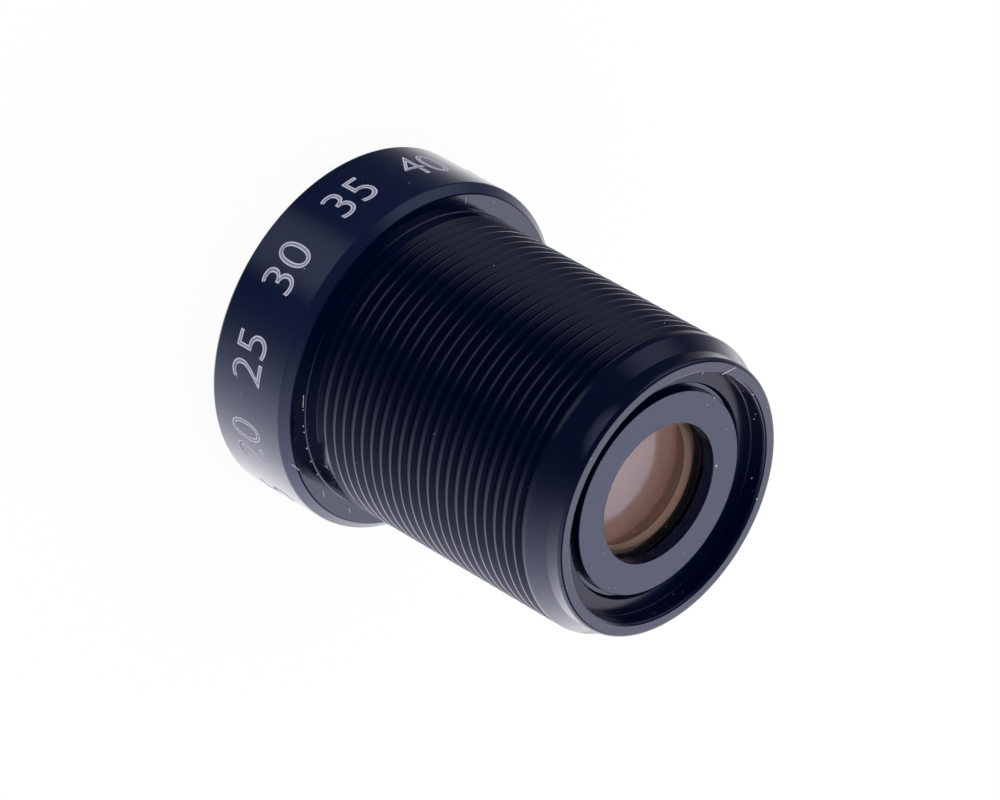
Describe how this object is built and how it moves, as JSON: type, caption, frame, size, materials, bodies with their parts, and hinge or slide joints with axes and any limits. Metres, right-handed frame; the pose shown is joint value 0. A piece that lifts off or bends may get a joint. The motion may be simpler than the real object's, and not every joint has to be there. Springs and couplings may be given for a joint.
{
  "type": "m12 board camera lens",
  "caption": "Threaded M12 board camera lens with a wide round head, a stack of glass lenses and a rear retaining ring.",
  "frame": {"origin": "centre of the head's front face, which the lens stands on", "axes": "+Z along the optical axis from the front of the lens to its rear, sensor side; +X and +Y are alike"},
  "size_m": [0.014, 0.014, 0.017],
  "materials": {
    "anodised_barrel": "turned and black anodised, satin",
    "anodised_ring": "turned and black anodised, satin face",
    "blackened_spacer": "black anodised, matt",
    "black_film": "matt black film",
    "seal_rubber": "lathe-cut rubber",
    "front_glass": "polished and coated",
    "inner_glass": "polished and coated",
    "rear_glass": "polished, warm coating"
  },
  "bodies": {
    "root": {"barrel": "anodised_barrel", "hood_ring": "anodised_ring", "rear_retaining_ring": "anodised_ring", "seal_ring": "seal_rubber", "front_meniscus": "front_glass", "second_lens": "inner_glass", "third_lens": "inner_glass", "fourth_lens": "inner_glass", "rear_lens": "rear_glass", "front_light_shield": "black_film", "middle_light_shield": "black_film", "rear_light_shield": "black_film", "aperture_stop": "black_film", "front_spacer": "blackened_spacer", "middle_spacer": "blackened_spacer", "stop_spacer": "blackened_spacer", "rear_spacer": "blackened_spacer"}
  },
  "joints": []
}
